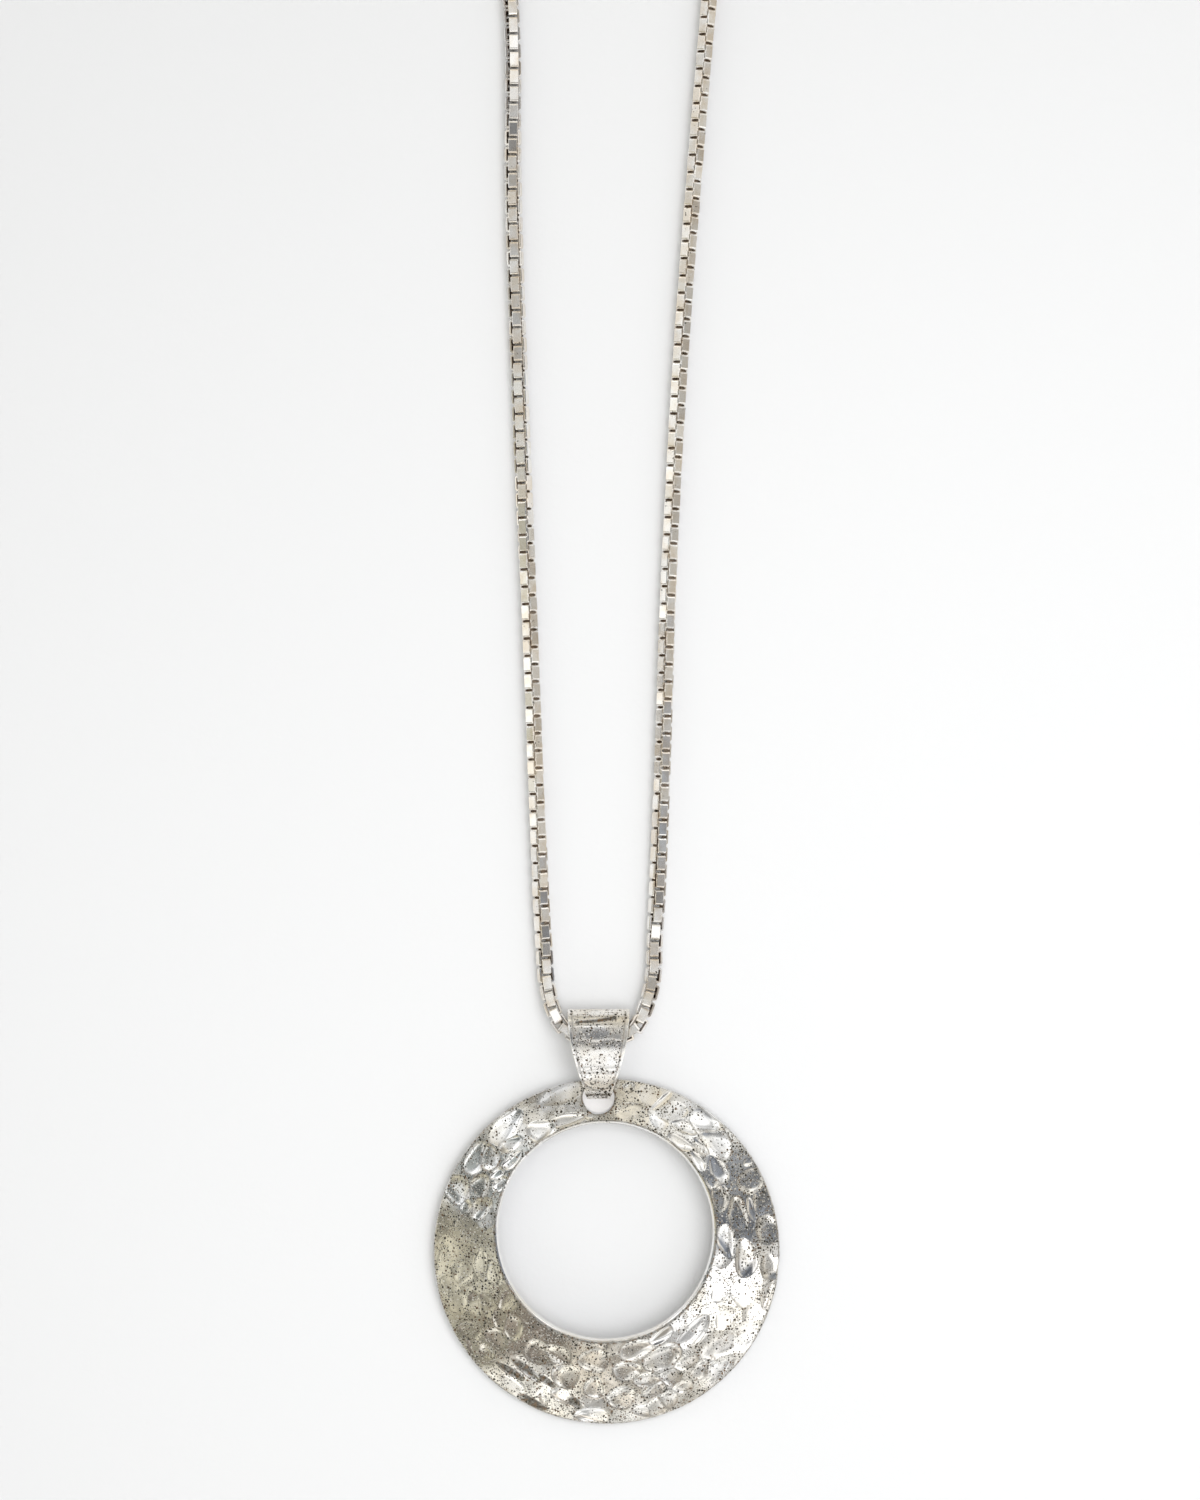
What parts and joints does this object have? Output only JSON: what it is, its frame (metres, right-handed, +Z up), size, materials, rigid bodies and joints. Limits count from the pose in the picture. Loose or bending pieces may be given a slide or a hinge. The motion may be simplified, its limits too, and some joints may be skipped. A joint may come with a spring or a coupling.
{
  "type": "circle pendant necklace",
  "caption": "Necklace: a hammered, domed disc with an off-centre opening on a folded bail, carried by a closed loop of box chain.",
  "frame": {"origin": "on the surface that the necklace lies on, under the middle of its box", "axes": "+Y along the laid-out necklace from the pendant towards the clasp, +X to the right as seen from above, +Z up, out of the pendant's face"},
  "size_m": [0.0426, 0.256, 0.005],
  "materials": {
    "hammered_silver": "hammered silver, bright on the ridges, with dark oxidised pits",
    "bail_silver": "polished silver with oxidised pits and polished edges",
    "chain_silver": "polished silver with dark joints between the links",
    "clasp_silver": "polished silver"
  },
  "bodies": {
    "root": {"pendant_circle": "hammered_silver", "bail": "bail_silver", "chain": "chain_silver", "clasp": "clasp_silver"}
  },
  "joints": []
}
